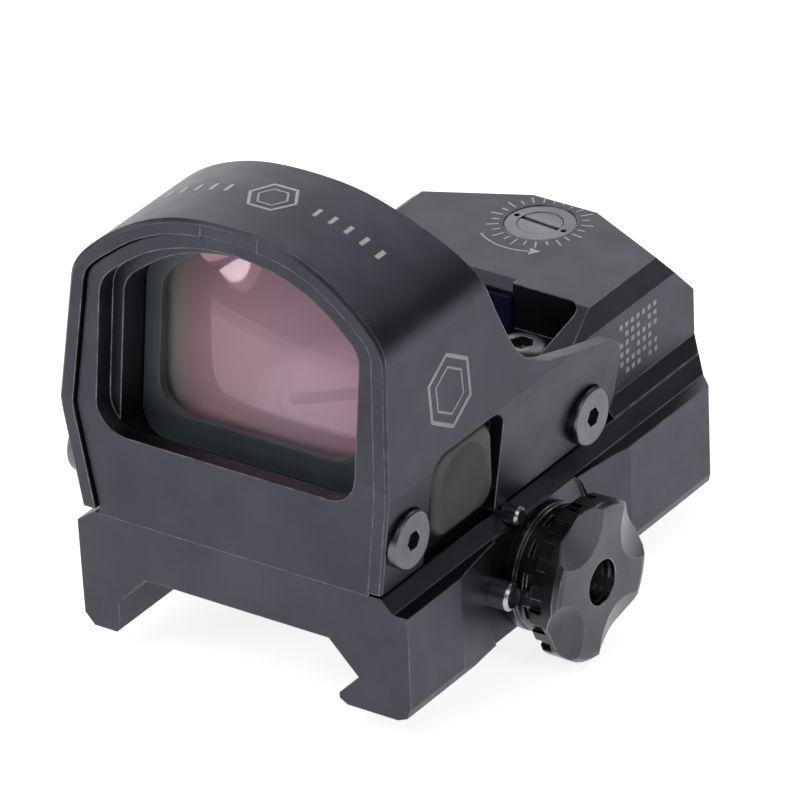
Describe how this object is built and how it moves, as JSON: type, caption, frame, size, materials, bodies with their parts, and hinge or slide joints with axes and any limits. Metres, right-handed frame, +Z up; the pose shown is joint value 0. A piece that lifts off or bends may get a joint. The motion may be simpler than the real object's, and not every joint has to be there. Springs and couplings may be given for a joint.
{
  "type": "reflex red dot sight",
  "caption": "Open reflex red dot sight with a protective hood on a low rail clamp, with turning clamp knob, sliding jaw, side buttons, screwed battery cap and dot adjusters.",
  "frame": {"origin": "middle of the flat seat that rests on top of the rail", "axes": "+X towards the clamp knob (across the rail), +Y along the rail from the lens towards the battery end, +Z up away from the rail"},
  "size_m": [0.0348, 0.0459, 0.0383],
  "materials": {
    "anodised_body": "matte black anodised aluminium, fine blasted grain",
    "anodised_mount": "matte black anodised aluminium",
    "anodised_knob": "satin black anodised aluminium, turned and milled",
    "anodised_dial": "satin black anodised aluminium",
    "steel": "ground steel",
    "steel_dark": "darkened steel with bright edges",
    "spring_steel": "bright spring wire and strip",
    "cell_steel": "nickelled can, satin",
    "brass": "machined brass",
    "seal_rubber": "black moulded seal",
    "button_rubber": "charcoal moulded key cap, soft matte",
    "coated_glass": "polished lens with a reddish reflecting coat",
    "filter_glass": "dark blue filter pane",
    "led_plastic": "clear red emitter",
    "board": "green laminate with black components"
  },
  "bodies": {
    "sight": {"mount_base": "anodised_mount", "recoil_keys": "steel", "knob_washer": "steel", "dowel_pins": "steel", "base_gasket": "seal_rubber", "sight_body": "anodised_body", "shield_hood": "anodised_body", "hood_screws": "steel_dark", "mounting_screws": "steel_dark", "lens": "coated_glass", "lens_bezel": "anodised_body", "lens_seal": "seal_rubber", "button_boots": "seal_rubber", "contact_strip": "brass", "emitter_window": "filter_glass", "carriage_spring": "spring_steel", "elevation_ring": "anodised_dial", "windage_ring": "anodised_dial", "circuit_board": "board", "jaw_springs": "spring_steel", "battery_cell": "cell_steel"},
    "knob": {"clamp_knob": "anodised_knob"},
    "jaw": {"clamp_jaw": "anodised_mount", "jaw_guide_pins": "steel", "cross_bolt": "steel"},
    "windage_dial": {"windage_screw": "anodised_dial"},
    "carriage": {"windage_carriage": "brass"},
    "elevation_dial": {"elevation_screw": "anodised_dial"},
    "emitter": {"led_holder": "brass", "led_emitter": "led_plastic"},
    "right_button": {"button_right": "button_rubber"},
    "left_button": {"button_left": "button_rubber"},
    "cap_carrier": {"cap_seal": "seal_rubber"},
    "cap": {"battery_cap": "anodised_mount"}
  },
  "joints": [
    {"name": "jaw_slide", "type": "slide", "parent": "sight", "child": "jaw", "axis": [-1, 0, 0], "range_m": [0, 0.002]},
    {"name": "knob_turn", "type": "hinge", "parent": "sight", "child": "knob", "pos_m": [0.017, -0.00205, -0.001], "axis": [1, 0, 0], "range_deg": [0, 1029]},
    {"name": "windage_slide", "type": "slide", "parent": "sight", "child": "carriage", "axis": [1, 0, 0], "range_m": [-0.00015, 0.00015]},
    {"name": "windage_turn", "type": "hinge", "parent": "sight", "child": "windage_dial", "pos_m": [-0.011, 0.0175, 0.009], "axis": [1, 0, 0], "range_deg": [-724, 724]},
    {"name": "elevation_slide", "type": "slide", "parent": "carriage", "child": "emitter", "axis": [0, 0, 1], "range_m": [-0.00015, 0.00015]},
    {"name": "elevation_turn", "type": "hinge", "parent": "sight", "child": "elevation_dial", "pos_m": [0, 0.021, 0.0125], "axis": [0, 0, 1], "range_deg": [-724, 724]},
    {"name": "cap_lift", "type": "slide", "parent": "sight", "child": "cap_carrier", "axis": [0, 0, 1], "range_m": [0, 0.0009]},
    {"name": "cap_turn", "type": "hinge", "parent": "cap_carrier", "child": "cap", "pos_m": [0, -0.0017, 0.009], "axis": [0, 0, 1], "range_deg": [0, 433]},
    {"name": "button_right_press", "type": "slide", "parent": "sight", "child": "right_button", "axis": [-1, 0, 0], "range_m": [0, 0.0005], "stiffness_N_per_m": 3000},
    {"name": "button_left_press", "type": "slide", "parent": "sight", "child": "left_button", "axis": [1, 0, 0], "range_m": [0, 0.0005], "stiffness_N_per_m": 3000}
  ],
  "couplings": [
    {"joint": "knob_turn", "follows": "jaw_slide", "rad_per_m": 8976},
    {"joint": "windage_turn", "follows": "windage_slide", "rad_per_m": 83776},
    {"joint": "elevation_turn", "follows": "elevation_slide", "rad_per_m": 83776},
    {"joint": "cap_turn", "follows": "cap_lift", "rad_per_m": 8378}
  ]
}
